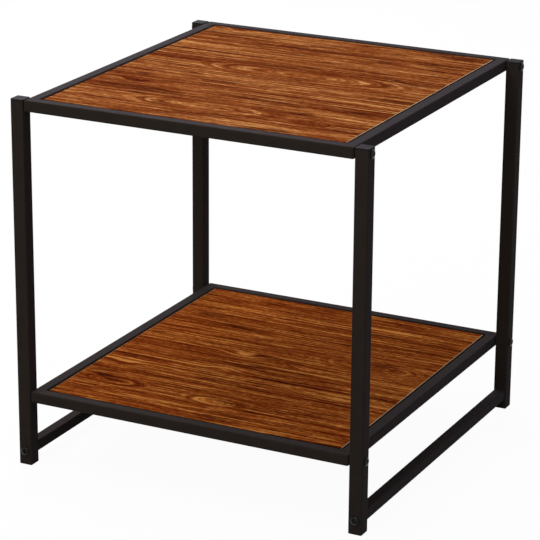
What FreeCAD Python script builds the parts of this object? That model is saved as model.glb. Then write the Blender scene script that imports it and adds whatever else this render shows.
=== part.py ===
"""End table with a lower shelf, as a FreeCAD document of separate parts.

Four square steel legs stand at the corners.  Two welded frames of smaller square tube, one for
the top and one for the shelf, are bolted between the left and the right legs.  Each frame holds
a laminated board on welded tabs, and a stretcher near the floor ties each front leg to the rear
leg behind it.

Millimetres.  X points to the right, Y to the back and Z up.  The origin is on the floor, under
the middle of the table.
"""
import FreeCAD, Part
import math
import os

import Sketcher
from FreeCAD import Placement, Rotation, Vector

# Driving dimensions: the alias of each cell, its value in millimetres and what it is.
DIMENSIONS = (
    ("overall_width", 400.0, "outer faces of the left and right legs"),
    ("overall_depth", 400.0, "outer faces of the front and rear legs"),
    ("overall_height", 400.0, "floor to the top of the leg caps and of the top frame"),
    ("shelf_height", 84.0, "floor to the top of the shelf frame"),
    ("leg_size", 15.0, "outside of the leg tube"),
    ("leg_wall", 1.2, "wall of the leg tube"),
    ("leg_radius", 1.5, "rounded long edges of the leg tube"),
    ("rail_size", 12.0, "outside of the rail and stretcher tube"),
    ("rail_wall", 1.2, "wall of the rail and stretcher tube"),
    ("rail_radius", 1.4, "rounded long edges of the rail tube"),
    ("corner_radius", 2.2, "ground outer corners of the welded frames"),
    ("stretcher_clearance", 10.5, "floor to the underside of the stretchers"),
    ("stretcher_bolt_drop", 1.0, "stretcher bolt below the middle of its stretcher"),
    ("plug_flange", 1.5, "flange of the leg caps and foot plugs"),
    ("plug_edge_radius", 0.6, "rounded outer rim of that flange"),
    ("plug_wall", 1.6, "wall of the plugs' skirt"),
    ("plug_depth", 9.0, "length of the skirt inside the leg"),
    ("plug_clearance", 0.1, "gap between the skirt and each tube wall"),
    ("bolt_diameter", 5.0, "shank of the frame and stretcher bolts"),
    ("bolt_head_diameter", 9.5, "head of the bolts"),
    ("bolt_head_height", 2.6, "top of the domed head above the leg"),
    ("bolt_head_side", 1.1, "straight side of the head below the dome"),
    ("bolt_rim_radius", 0.3, "rounded rim of the head"),
    ("bolt_tip_chamfer", 0.6, "lead-in at the end of the shank"),
    ("bolt_hole_play", 0.5, "bolt holes in the legs over the shank"),
    ("recess_length", 5.2, "cross recess, tip to tip"),
    ("recess_width", 1.2, "cross recess, across each arm"),
    ("recess_depth", 1.6, "cross recess, below the top of the head"),
    ("recess_turn", 25.0, "degrees that each bolt is turned on from the last one"),
    ("frame_bolt_length", 22.0, "shank of a frame bolt"),
    ("stretcher_bolt_length", 26.0, "shank of a stretcher bolt"),
    ("thread_clearance", 0.2, "threaded bores over the shank"),
    ("nut_flange_diameter", 9.0, "rivet nut flange"),
    ("nut_flange_thickness", 0.8, "rivet nut flange, which spaces frame and leg"),
    ("nut_body_diameter", 7.0, "rivet nut body"),
    ("nut_bulb_diameter", 9.0, "collapsed collar behind the rail wall"),
    ("nut_bulb_length", 2.5, "length of that collar"),
    ("nut_length", 8.0, "rivet nut from the rail's face to its inner end"),
    ("nut_hole_play", 0.2, "hole in the rail over the rivet nut body"),
    ("end_plug_length", 15.0, "threaded plug in a stretcher's end"),
    ("end_plug_clearance", 0.1, "gap between that plug and each tube wall"),
    ("board_thickness", 9.0, "laminated board"),
    ("board_recess", 0.5, "top of the board below the top of its frame"),
    ("board_gap", 2.5, "gap between a board and each rail round it"),
    ("board_edge_radius", 0.4, "eased edges of the board"),
    ("tab_length", 24.0, "board tab along its rail"),
    ("tab_reach", 18.0, "board tab from the rail inwards"),
    ("tab_thickness", 1.5, "board tab sheet"),
    ("tab_corner_radius", 4.0, "rounded free corners of the tab"),
    ("tab_spacing", 220.0, "front tab to rear tab on one rail"),
    ("tab_hole_inset", 7.0, "screw from the free end of its tab"),
    ("screw_diameter", 3.5, "board screw shank"),
    ("screw_hole_play", 0.6, "hole in the tab over the screw"),
    ("screw_head_diameter", 7.0, "board screw head"),
    ("screw_head_height", 1.4, "board screw head below the tab"),
    ("screw_length", 8.5, "board screw shank, tip to head"),
    ("pilot_depth_play", 0.6, "pilot hole deeper than the screw reaches"),
)

# Places that several parts share, as expressions of the driving dimensions.
LEG_X = "(Sizes.overall_width - Sizes.leg_size) / 2"
LEG_Y = "(Sizes.overall_depth - Sizes.leg_size) / 2"
LEG_INSIDE = "(Sizes.leg_size - 2 * Sizes.leg_wall)"
RAIL_INSIDE = "(Sizes.rail_size - 2 * Sizes.rail_wall)"
FRAME_WIDTH = "(Sizes.overall_width - 2 * (Sizes.leg_size + Sizes.nut_flange_thickness))"
BOARD_WIDTH = f"({FRAME_WIDTH} - 2 * (Sizes.rail_size + Sizes.board_gap))"
BOARD_DEPTH = "(Sizes.overall_depth - 2 * (Sizes.rail_size + Sizes.board_gap))"
TAB_ROOT_X = f"({FRAME_WIDTH} / 2 - Sizes.rail_size)"
TAB_HOLE_REACH = "(Sizes.tab_reach - Sizes.tab_hole_inset)"
STRETCHER_MIDDLE = "(Sizes.stretcher_clearance + Sizes.rail_size / 2)"
STRETCHER_BOLT_HEIGHT = f"({STRETCHER_MIDDLE} - Sizes.stretcher_bolt_drop)"

SIDES = {"left": -1, "right": 1}
ENDS = {"front": -1, "rear": 1}
FRAME_TOPS = {"top": "Sizes.overall_height", "shelf": "Sizes.shelf_height"}

ORIGIN = (-1, 1)
TINY = 1e-6

doc = FreeCAD.newDocument("EndTable")
sizes = doc.addObject("Spreadsheet::Sheet", "Sizes")
parts = []


def fill_sheet():
    """Writes the driving dimensions, one to a row, with their aliases and notes."""
    for row, (alias, size, note) in enumerate(DIMENSIONS, start=1):
        sizes.set(f"A{row}", alias)
        sizes.set(f"B{row}", str(size))
        sizes.setAlias(f"B{row}", alias)
        sizes.set(f"C{row}", note)
    doc.recompute()


def value(expression):
    """The present number of an expression of the sheet."""
    return float(sizes.evalExpression(expression))


def signed(direction, expression):
    """The expression with the sign of a side or an end."""
    return expression if direction > 0 else f"-({expression})"


def new_body(label, turn=Rotation()):
    """A sub-part's body, which is turned here and moved by place()."""
    body = doc.addObject("PartDesign::Body", label)
    body.Label = label
    body.Placement = Placement(Vector(), turn)
    parts.append(body)
    return body


def place(body, x="0", y="0", z="0"):
    """Ties the body's place to expressions."""
    for axis, expression in zip("xyz", (x, y, z)):
        body.setExpression(f"Placement.Base.{axis}", expression)


def new_sketch(body, name, plane, height=None):
    """A sketch on one of the body's own origin planes, moved along its normal by height."""
    sketch = body.newObject("Sketcher::SketchObject", name)
    support = next(item for item in body.Origin.OriginFeatures if item.Role == plane)
    sketch.AttachmentSupport = [(support, "")]
    sketch.MapMode = "FlatFace"
    if height:
        sketch.setExpression("AttachmentOffset.Base.z", height)
    return sketch


def drive(sketch, geometry, point, axis, expression, name):
    """Ties one coordinate of a sketch point to an expression, measured from the origin."""
    distance = value(expression)
    if abs(distance) < TINY:
        # -2 and -1 are Sketcher's own numbers for its Y and X axes.
        zero_line = -2 if axis == "x" else -1
        sketch.addConstraint(Sketcher.Constraint("PointOnObject", geometry, point, zero_line))
        return
    ends = (*ORIGIN, geometry, point) if distance > 0 else (geometry, point, *ORIGIN)
    number = sketch.addConstraint(Sketcher.Constraint(f"Distance{axis.upper()}", *ends, abs(distance)))
    sketch.renameConstraint(number, f"{name}_{axis}")
    sketch.setExpression(f"Constraints.{name}_{axis}", signed(distance, expression))


def arc_between(centre, start, end):
    """An arc of a circle, counter-clockwise from start to end."""
    first = math.atan2(start.y - centre.y, start.x - centre.x)
    last = math.atan2(end.y - centre.y, end.x - centre.x)
    circle = Part.Circle(centre, Vector(0, 0, 1), (start - centre).Length)
    return Part.ArcOfCircle(circle, first, last)


def outline(sketch, name, corners, arcs=None):
    """A closed outline, counter-clockwise.

    Each corner is (x, y, driven): two expressions, and which of the two are tied to the sheet.
    The side that starts at a corner is straight, unless arcs gives its centre in the same form.
    """
    arcs = arcs or {}
    first = sketch.GeometryCount
    spots = [Vector(value(x), value(y), 0) for x, y, _ in corners]
    for index, start in enumerate(spots):
        end = spots[(index + 1) % len(spots)]
        if index in arcs:
            x, y, _ = arcs[index]
            sketch.addGeometry(arc_between(Vector(value(x), value(y), 0), start, end))
        else:
            sketch.addGeometry(Part.LineSegment(start, end))
    for index, (x, y, driven) in enumerate(corners):
        side = first + index
        following = first + (index + 1) % len(corners)
        sketch.addConstraint(Sketcher.Constraint("Coincident", side, 2, following, 1))
        for axis, expression in zip("xy", (x, y)):
            if axis in driven:
                drive(sketch, side, 1, axis, expression, f"{name}{index}")
    for index, (x, y, driven) in arcs.items():
        for axis, expression in zip("xy", (x, y)):
            if axis in driven:
                drive(sketch, first + index, 3, axis, expression, f"{name}{index}_centre")


def rectangle(sketch, name, left, right, bottom, top):
    """A rectangle between four lines, each given by an expression."""
    spots = ((left, bottom), (right, bottom), (right, top), (left, top))
    outline(sketch, name, [(x, y, "xy") for x, y in spots])


def square(sketch, name, size):
    """A square about the sketch's origin."""
    half = f"{size} / 2"
    rectangle(sketch, name, f"-({half})", half, f"-({half})", half)


def circle(sketch, name, x, y, diameter):
    """A circle whose centre and diameter are tied to expressions."""
    centre = Vector(value(x), value(y), 0)
    number = sketch.addGeometry(Part.Circle(centre, Vector(0, 0, 1), value(diameter) / 2))
    drive(sketch, number, 3, "x", x, name)
    drive(sketch, number, 3, "y", y, name)
    constraint = sketch.addConstraint(Sketcher.Constraint("Diameter", number, value(diameter)))
    sketch.renameConstraint(constraint, f"{name}_diameter")
    sketch.setExpression(f"Constraints.{name}_diameter", diameter)


def pad(body, name, sketch, length, symmetric=False, downwards=False):
    """Grows a sketch into the body."""
    feature = body.newObject("PartDesign::Pad", name)
    feature.Profile = sketch
    feature.setExpression("Length", length)
    feature.Midplane = symmetric
    feature.Reversed = downwards
    doc.recompute()
    return feature


def pocket(body, name, sketch, depth=None, reverse=False):
    """Cuts a sketch out of the body: to a depth, or with no depth through it both ways."""
    before = body.Shape.Volume
    feature = body.newObject("PartDesign::Pocket", name)
    feature.Profile = sketch
    if depth:
        feature.setExpression("Length", depth)
        feature.Reversed = reverse
    else:
        feature.Type = "ThroughAll"
        feature.Midplane = True
    doc.recompute()
    if not feature.Shape.Volume < before - TINY:
        raise RuntimeError(f"{body.Label}: {name} cuts nothing")
    return feature


def revolve(body, name, sketch):
    """Turns a half section about the body's Z axis."""
    feature = body.newObject("PartDesign::Revolution", name)
    feature.Profile = sketch
    feature.ReferenceAxis = (sketch, ["V_Axis"])
    feature.Angle = 360
    doc.recompute()
    return feature


def round_edges(body, name, radius, wanted):
    """Rounds the edges of the body so far for which wanted(edge) is true."""
    base = body.Tip
    names = [f"Edge{number}" for number, edge in enumerate(base.Shape.Edges, start=1) if wanted(edge)]
    if not names:
        raise RuntimeError(f"{body.Label}: {name} finds no edge")
    feature = body.newObject("PartDesign::Fillet", name)
    feature.Base = (base, names)
    feature.setExpression("Radius", radius)
    doc.recompute()
    return feature


def runs_along(edge, axis):
    """True for a straight edge along the given axis."""
    if not isinstance(edge.Curve, Part.Line):
        return False
    ends = [vertex.Point for vertex in edge.Vertexes]
    return (ends[1] - ends[0]).normalize().cross(axis).Length < TINY


def at_height(edge, height):
    """True for an edge that lies wholly at one height."""
    box = edge.BoundBox
    return abs(box.ZMin - height) < TINY and abs(box.ZMax - height) < TINY


def build_leg(label, side, end):
    """A square tube, with through holes for two frame bolts and one stretcher bolt."""
    body = new_body(label)
    section = new_sketch(body, f"{label}_section", "XY_Plane", "Sizes.plug_flange")
    square(section, "outside", "Sizes.leg_size")
    pad(body, f"{label}_bar", section, "Sizes.overall_height - 2 * Sizes.plug_flange")
    round_edges(body, f"{label}_edges", "Sizes.leg_radius", lambda edge: runs_along(edge, Vector(0, 0, 1)))
    inside = new_sketch(body, f"{label}_inside", "XY_Plane")
    square(inside, "inside", LEG_INSIDE)
    pocket(body, f"{label}_hollow", inside)
    hole = "Sizes.bolt_diameter + Sizes.bolt_hole_play"
    frame_holes = new_sketch(body, f"{label}_frame_holes", "YZ_Plane")
    for frame, top in FRAME_TOPS.items():
        circle(frame_holes, frame, "0", f"{top} - Sizes.rail_size / 2", hole)
    pocket(body, f"{label}_frame_bolt_holes", frame_holes)
    foot_hole = new_sketch(body, f"{label}_foot_hole", "XZ_Plane")
    circle(foot_hole, "stretcher", "0", STRETCHER_BOLT_HEIGHT, hole)
    pocket(body, f"{label}_stretcher_bolt_hole", foot_hole)
    place(body, signed(side, LEG_X), signed(end, LEG_Y))


def build_plug(label, side, end, is_cap):
    """A moulded plug with a flange and a hollow skirt.

    The foot plug stands flange down on the floor.  The leg cap is the same plug the other way
    up, with a notch through its skirt for the frame bolt.
    """
    body = new_body(label, Rotation(Vector(1, 0, 0), 180) if is_cap else Rotation())
    flange = new_sketch(body, f"{label}_flange_outline", "XY_Plane")
    square(flange, "flange", "Sizes.leg_size")
    pad(body, f"{label}_flange", flange, "Sizes.plug_flange")
    round_edges(body, f"{label}_corners", "Sizes.leg_radius", lambda edge: runs_along(edge, Vector(0, 0, 1)))
    round_edges(body, f"{label}_rim", "Sizes.plug_edge_radius", lambda edge: at_height(edge, 0))
    skirt_outside = f"({LEG_INSIDE} - 2 * Sizes.plug_clearance)"
    skirt = new_sketch(body, f"{label}_skirt_outline", "XY_Plane", "Sizes.plug_flange")
    square(skirt, "outer", skirt_outside)
    square(skirt, "inner", f"({skirt_outside} - 2 * Sizes.plug_wall)")
    pad(body, f"{label}_skirt", skirt, "Sizes.plug_depth")
    if is_cap:
        half = "(Sizes.bolt_diameter / 2 + Sizes.bolt_hole_play)"
        notch = new_sketch(body, f"{label}_notch_outline", "YZ_Plane")
        rectangle(notch, "notch", f"-({half})", half, f"Sizes.rail_size / 2 - {half}",
                  "Sizes.plug_flange + Sizes.plug_depth")
        pocket(body, f"{label}_notch", notch)
    place(body, signed(side, LEG_X), signed(end, LEG_Y), "Sizes.overall_height" if is_cap else "0")


def build_rail(label, turn, length, x, y, top, has_nut_holes):
    """A mitred frame rail.

    It is drawn with its outer face on the body's XZ plane and its inner face behind it.  The
    outer corners of the welded frame are ground round, and each rail carries half of each arc.
    """
    body = new_body(label, Rotation(Vector(0, 0, 1), turn))
    half = f"({length} / 2)"
    arc_start = f"({half} - Sizes.corner_radius)"
    seam = "(Sizes.corner_radius * (1 - sqrt(0.5)))"
    seam_x = f"({half} - {seam})"
    inner = f"({half} - Sizes.rail_size)"
    plan = new_sketch(body, f"{label}_plan", "XY_Plane")
    outline(
        plan,
        "rail",
        [
            (f"-{arc_start}", "0", "xy"),
            (arc_start, "0", "xy"),
            (seam_x, seam, "x"),
            (inner, "Sizes.rail_size", "xy"),
            (f"-{inner}", "Sizes.rail_size", "xy"),
            (f"-{seam_x}", seam, "x"),
        ],
        {1: (arc_start, "Sizes.corner_radius", "xy"), 5: (f"-{arc_start}", "Sizes.corner_radius", "xy")},
    )
    pad(body, f"{label}_bar", plan, "Sizes.rail_size")
    round_edges(body, f"{label}_edges", "Sizes.rail_radius", lambda edge: runs_along(edge, Vector(1, 0, 0)))
    inside = new_sketch(body, f"{label}_inside", "YZ_Plane")
    wall = "Sizes.rail_wall"
    far_wall = "Sizes.rail_size - Sizes.rail_wall"
    rectangle(inside, "inside", wall, far_wall, wall, far_wall)
    pocket(body, f"{label}_hollow", inside)
    if has_nut_holes:
        holes = new_sketch(body, f"{label}_nut_hole_centres", "XZ_Plane")
        for end, direction in ENDS.items():
            circle(holes, end, signed(direction, LEG_Y), "Sizes.rail_size / 2",
                   "Sizes.nut_body_diameter + Sizes.nut_hole_play")
        pocket(body, f"{label}_nut_holes", holes, "Sizes.rail_size / 2", reverse=False)
    place(body, x, y, f"{top} - Sizes.rail_size")


def build_frame(frame, top):
    """The four mitred rails of one welded frame."""
    half_width = f"{FRAME_WIDTH} / 2"
    half_depth = "Sizes.overall_depth / 2"
    build_rail(f"{frame}_frame_front_rail", 0, FRAME_WIDTH, "0", f"-({half_depth})", top, False)
    build_rail(f"{frame}_frame_right_rail", 90, "Sizes.overall_depth", half_width, "0", top, True)
    build_rail(f"{frame}_frame_rear_rail", 180, FRAME_WIDTH, "0", half_depth, top, False)
    build_rail(f"{frame}_frame_left_rail", 270, "Sizes.overall_depth", f"-({half_width})", "0", top, True)


def build_stretcher(label, side):
    """A square tube between the front and the rear leg of one side."""
    body = new_body(label)
    section = new_sketch(body, f"{label}_section", "XZ_Plane")
    square(section, "outside", "Sizes.rail_size")
    pad(body, f"{label}_bar", section, "Sizes.overall_depth - 2 * Sizes.leg_size", symmetric=True)
    round_edges(body, f"{label}_edges", "Sizes.rail_radius", lambda edge: runs_along(edge, Vector(0, 1, 0)))
    inside = new_sketch(body, f"{label}_inside", "XZ_Plane")
    square(inside, "inside", RAIL_INSIDE)
    pocket(body, f"{label}_hollow", inside)
    place(body, signed(side, LEG_X), "0", STRETCHER_MIDDLE)


def build_end_plug(label, side, end):
    """A square plug, pressed into a stretcher's end, with a bore for the stretcher bolt."""
    turn = Rotation(Vector(1, 0, 0), 90 * end)
    if end > 0:
        turn = turn * Rotation(Vector(0, 0, 1), 180)
    body = new_body(label, turn)
    section = new_sketch(body, f"{label}_section", "XY_Plane")
    square(section, "outside", f"({RAIL_INSIDE} - 2 * Sizes.end_plug_clearance)")
    circle(section, "bore", "0", "Sizes.stretcher_bolt_drop", "Sizes.bolt_diameter + Sizes.thread_clearance")
    pad(body, f"{label}_block", section, "Sizes.end_plug_length")
    place(body, signed(side, LEG_X), signed(end, "Sizes.overall_depth / 2 - Sizes.leg_size"), STRETCHER_MIDDLE)


def build_bolt(label, turn, length, x, y, z):
    """A bolt with a low domed head above its body's XY plane and a shank below it."""
    body = new_body(label, turn)
    section = new_sketch(body, f"{label}_section", "XZ_Plane")
    shank = "Sizes.bolt_diameter / 2"
    head = "Sizes.bolt_head_diameter / 2"
    dome_centre = ("(Sizes.bolt_head_height^2 - Sizes.bolt_head_side^2 - (Sizes.bolt_head_diameter / 2)^2)"
                   " / (2 * (Sizes.bolt_head_height - Sizes.bolt_head_side))")
    outline(
        section,
        "bolt",
        [
            ("0", f"-({length})", "xy"),
            (f"{shank} - Sizes.bolt_tip_chamfer", f"-({length})", "xy"),
            (shank, f"Sizes.bolt_tip_chamfer - {length}", "xy"),
            (shank, "0", "xy"),
            (head, "0", "xy"),
            (head, "Sizes.bolt_head_side", "xy"),
            ("0", "Sizes.bolt_head_height", "xy"),
        ],
        {5: ("0", dome_centre, "x")},
    )
    revolve(body, f"{label}_turned", section)
    round_edges(body, f"{label}_rim", "Sizes.bolt_rim_radius",
                lambda edge: at_height(edge, value("Sizes.bolt_head_side")))
    arm = new_sketch(body, f"{label}_recess_arm", "XY_Plane", "Sizes.bolt_head_height")
    half_length = "Sizes.recess_length / 2"
    half_width = "Sizes.recess_width / 2"
    rectangle(arm, "arm", f"-({half_length})", half_length, f"-({half_width})", half_width)
    slot = pocket(body, f"{label}_recess_slot", arm, "Sizes.recess_depth")
    cross = body.newObject("PartDesign::PolarPattern", f"{label}_recess")
    cross.Originals = [slot]
    cross.Axis = (section, ["V_Axis"])
    cross.Angle = 90
    cross.Occurrences = 2
    body.Tip = cross
    place(body, x, y, z)


def build_rivet_nut(label, turn, x, y, z):
    """A rivet nut: flange on the rail's face, collapsed collar behind its wall."""
    body = new_body(label, turn)
    section = new_sketch(body, f"{label}_section", "XZ_Plane")
    bore = "(Sizes.bolt_diameter + Sizes.thread_clearance) / 2"
    flange = "Sizes.nut_flange_diameter / 2"
    shaft = "Sizes.nut_body_diameter / 2"
    bulb = "Sizes.nut_bulb_diameter / 2"
    bulb_end = "Sizes.rail_wall + Sizes.nut_bulb_length"
    spots = (
        (bore, "-(Sizes.nut_flange_thickness)"),
        (flange, "-(Sizes.nut_flange_thickness)"),
        (flange, "0"),
        (shaft, "0"),
        (shaft, "Sizes.rail_wall"),
        (bulb, "Sizes.rail_wall"),
        (bulb, bulb_end),
        (shaft, bulb_end),
        (shaft, "Sizes.nut_length"),
        (bore, "Sizes.nut_length"),
    )
    outline(section, "nut", [(radius, height, "xy") for radius, height in spots])
    revolve(body, f"{label}_turned", section)
    place(body, x, y, z)


def build_board(label, top):
    """A laminated board with eased edges and four blind pilot holes in its underside."""
    body = new_body(label)
    plan = new_sketch(body, f"{label}_plan", "XY_Plane")
    half_width = f"{BOARD_WIDTH} / 2"
    half_depth = f"{BOARD_DEPTH} / 2"
    rectangle(plan, "board", f"-({half_width})", half_width, f"-({half_depth})", half_depth)
    pad(body, f"{label}_core", plan, "Sizes.board_thickness")
    round_edges(body, f"{label}_edges", "Sizes.board_edge_radius", lambda edge: True)
    pilots = new_sketch(body, f"{label}_pilot_centres", "XY_Plane")
    for side_name, side in SIDES.items():
        for end_name, end in ENDS.items():
            circle(pilots, f"{end_name}_{side_name}", signed(side, f"({TAB_ROOT_X} - {TAB_HOLE_REACH})"),
                   signed(end, "Sizes.tab_spacing / 2"), "Sizes.screw_diameter + Sizes.thread_clearance")
    pocket(body, f"{label}_pilot_holes", pilots,
           "Sizes.screw_length - Sizes.tab_thickness + Sizes.pilot_depth_play", reverse=True)
    place(body, z=f"{top} - Sizes.board_recess - Sizes.board_thickness")


def build_tab(label, side, end, top):
    """A sheet tab, welded edge on to the inside of a side rail, under the board."""
    body = new_body(label, Rotation(Vector(0, 0, 1), 180 if side > 0 else 0))
    plan = new_sketch(body, f"{label}_plan", "XY_Plane")
    half_length = "Sizes.tab_length / 2"
    rectangle(plan, "tab", "0", "Sizes.tab_reach", f"-({half_length})", half_length)
    circle(plan, "hole", TAB_HOLE_REACH, "0", "Sizes.screw_diameter + Sizes.screw_hole_play")
    pad(body, f"{label}_sheet", plan, "Sizes.tab_thickness", downwards=True)
    free_end = value("Sizes.tab_reach")
    round_edges(body, f"{label}_corners", "Sizes.tab_corner_radius",
                lambda edge: runs_along(edge, Vector(0, 0, 1)) and abs(edge.BoundBox.XMin - free_end) < TINY)
    place(body, signed(side, TAB_ROOT_X), signed(end, "Sizes.tab_spacing / 2"),
          f"{top} - Sizes.board_recess - Sizes.board_thickness")


def build_board_screws(frame, top):
    """Four screws through the tabs of one frame: one turned screw and its mirror images."""
    label = f"{frame}_board_screw"
    body = new_body(label)
    parts.remove(body)
    section = new_sketch(body, f"{label}_section", "XZ_Plane")
    shank = "Sizes.screw_diameter / 2"
    head = "Sizes.screw_head_diameter / 2"
    spots = (
        ("0", "-(Sizes.screw_head_height)"),
        (shank, "-(Sizes.screw_head_height)"),
        (head, "-(Sizes.screw_head_height / 2)"),
        (head, "0"),
        (shank, "0"),
        (shank, "Sizes.screw_length - Sizes.screw_diameter / 2"),
        ("0", "Sizes.screw_length"),
    )
    outline(section, "screw", [(radius, height, "xy") for radius, height in spots])
    revolve(body, f"{label}_turned", section)
    place(body, f"{TAB_ROOT_X} - {TAB_HOLE_REACH}", "Sizes.tab_spacing / 2",
          f"{top} - Sizes.board_recess - Sizes.board_thickness - Sizes.tab_thickness")
    group = body
    for name, normal in (("pair", Vector(1, 0, 0)), ("set", Vector(0, 1, 0))):
        mirror = doc.addObject("Part::Mirroring", f"{label}_{name}_mirror")
        mirror.Source = group
        mirror.Normal = normal
        both = doc.addObject("Part::Compound", f"{label}_{name}")
        both.Links = [group, mirror]
        group = both
    group.Label = f"{frame}_board_screws"
    parts.append(group)


def build_legs():
    """The legs with their caps and foot plugs."""
    for end_name, end in ENDS.items():
        for side_name, side in SIDES.items():
            corner = f"{end_name}_{side_name}"
            build_leg(f"{corner}_leg", side, end)
            build_plug(f"{corner}_leg_cap", side, end, is_cap=True)
            build_plug(f"{corner}_foot_plug", side, end, is_cap=False)


def build_frame_fasteners():
    """The frame bolts, which point inwards from the outer faces, and their rivet nuts."""
    count = 0
    for frame, top in FRAME_TOPS.items():
        height = f"{top} - Sizes.rail_size / 2"
        for end_name, end in ENDS.items():
            for side_name, side in SIDES.items():
                corner = f"{frame}_{end_name}_{side_name}"
                spin = Rotation(Vector(0, 0, 1), count * value("Sizes.recess_turn"))
                outwards = Rotation(Vector(0, 1, 0), 90 * side)
                y = signed(end, LEG_Y)
                build_bolt(f"{corner}_frame_bolt", outwards * spin, "Sizes.frame_bolt_length",
                           signed(side, "Sizes.overall_width / 2"), y, height)
                inwards = Rotation(Vector(0, 1, 0), -90 * side)
                build_rivet_nut(f"{corner}_rivet_nut", inwards, signed(side, f"{FRAME_WIDTH} / 2"), y, height)
                count += 1


def build_stretchers():
    """The stretchers with their end plugs and bolts."""
    count = 0
    for side_name, side in SIDES.items():
        build_stretcher(f"{side_name}_stretcher", side)
        for end_name, end in ENDS.items():
            build_end_plug(f"{side_name}_stretcher_{end_name}_end_plug", side, end)
            spin = Rotation(Vector(0, 0, 1), count * value("Sizes.recess_turn"))
            outwards = Rotation(Vector(1, 0, 0), -90 * end)
            build_bolt(f"{end_name}_{side_name}_stretcher_bolt", outwards * spin, "Sizes.stretcher_bolt_length",
                       signed(side, LEG_X), signed(end, "Sizes.overall_depth / 2"), STRETCHER_BOLT_HEIGHT)
            count += 1


def build_boards():
    """The boards with their tabs and screws."""
    for frame, top in FRAME_TOPS.items():
        build_board(f"{frame}_board", top)
        for end_name, end in ENDS.items():
            for side_name, side in SIDES.items():
                build_tab(f"{frame}_{end_name}_{side_name}_board_tab", side, end, top)
        build_board_screws(frame, top)


def check_document():
    """Stops if any object of the document has failed or any sub-part has no sound shape."""
    doc.recompute()
    for item in doc.Objects:
        if {"Invalid", "Error"} & set(item.State):
            raise RuntimeError(f"{item.Label} failed: {item.State}")
    for part in parts:
        if part.Shape.isNull() or not part.Shape.isValid():
            raise RuntimeError(f"{part.Label} has no valid shape")


def write_parts():
    """Writes each sub-part to a file of its own name."""
    os.makedirs("parts", exist_ok=True)
    for part in parts:
        part.Shape.exportStep(f"parts/{part.Label}.step")
        print(f"{part.Label}: {len(part.Shape.Solids)} solid, {part.Shape.Volume:.1f} mm3")


fill_sheet()
build_legs()
for frame_name, frame_top in FRAME_TOPS.items():
    build_frame(frame_name, frame_top)
build_stretchers()
build_frame_fasteners()
build_boards()
check_document()
write_parts()
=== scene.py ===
"""Looks of the end table with a lower shelf.

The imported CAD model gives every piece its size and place.  This script dresses the steel, the
bolts and the plastic plugs, models the two laminated boards and the welds, and lights the
table in a plain white studio.
"""

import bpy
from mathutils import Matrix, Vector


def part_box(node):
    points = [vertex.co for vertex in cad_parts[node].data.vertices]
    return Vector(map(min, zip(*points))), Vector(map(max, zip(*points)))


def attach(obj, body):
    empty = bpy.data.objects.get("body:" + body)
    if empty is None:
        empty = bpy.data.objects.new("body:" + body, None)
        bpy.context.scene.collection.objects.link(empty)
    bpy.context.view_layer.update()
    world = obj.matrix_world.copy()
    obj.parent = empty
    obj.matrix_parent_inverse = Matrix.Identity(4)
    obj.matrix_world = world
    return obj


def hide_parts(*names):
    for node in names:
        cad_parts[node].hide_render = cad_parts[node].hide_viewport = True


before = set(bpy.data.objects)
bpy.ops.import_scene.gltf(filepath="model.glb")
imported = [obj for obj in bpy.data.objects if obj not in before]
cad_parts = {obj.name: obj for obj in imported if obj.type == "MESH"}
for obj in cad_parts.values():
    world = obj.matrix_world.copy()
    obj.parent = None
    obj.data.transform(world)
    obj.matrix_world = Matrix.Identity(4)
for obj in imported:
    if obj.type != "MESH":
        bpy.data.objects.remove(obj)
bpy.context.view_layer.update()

import logging
import math
from dataclasses import dataclass, field
from enum import Enum

import bmesh
import bpy
from mathutils import Matrix, Vector

LOG = logging.getLogger("end_table")

MM = 0.001
BODY = "root"
WHITE = (1.0, 1.0, 1.0, 1.0)
# A size so large that a pattern doesn't change along that axis.
FLAT = 1e6
# A Mix node names its number and colour sockets alike, so they are taken by number.
NUMBER_A, NUMBER_B = 2, 3
COLOUR_A, COLOUR_B, MIXED_COLOUR = 6, 7, 2
# The cool tint in which the black coat and the black plastic bloom.
BLOOM_TINT = "#aaaae9"

NodeTree = bpy.types.NodeTree
Socket = bpy.types.NodeSocket
Stops = tuple[tuple[float, str], ...]


def linear(hex_colour: str) -> tuple[float, float, float, float]:
    """Turns an sRGB hex colour into linear light.

    Args:
        hex_colour: The colour as #rrggbb.

    Returns:
        Red, green, blue and an alpha of 1.
    """
    channels = []
    for start in (1, 3, 5):
        share = int(hex_colour[start:start + 2], 16) / 255
        channels.append(share / 12.92 if share <= 0.04045 else ((share + 0.055) / 1.055) ** 2.4)
    return (*channels, 1.0)


def plug(tree: NodeTree, node: bpy.types.Node, links: dict) -> None:
    """Sets and links a node's inputs.

    Args:
        tree: The node tree.
        node: The node.
        links: For an input's name or number, either a constant or the output to link to it.
    """
    for name, source in links.items():
        if isinstance(source, Socket):
            tree.links.new(source, node.inputs[name])
        else:
            node.inputs[name].default_value = source


def add_node(tree: NodeTree, kind: str, settings: dict | None = None,
             links: dict | None = None) -> bpy.types.Node:
    """Adds one node to a tree.

    Args:
        tree: The node tree.
        kind: The node's type, such as ShaderNodeMath.
        settings: Attributes to set on the node.
        links: What its inputs get, as plug takes it.

    Returns:
        The new node.
    """
    node = tree.nodes.new(kind)
    for name, setting in (settings or {}).items():
        setattr(node, name, setting)
    plug(tree, node, links or {})
    return node


def set_stops(ramp: bpy.types.ColorRamp, stops: Stops) -> None:
    """Gives a colour ramp its stops.

    Args:
        ramp: The ramp.
        stops: The place and the sRGB colour of each stop, in rising order.
    """
    while len(ramp.elements) < len(stops):
        ramp.elements.new(0.5)  # It is moved to its own place below.
    for element, (place, colour) in zip(ramp.elements, stops):
        element.position = place
        element.color = linear(colour)


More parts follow.
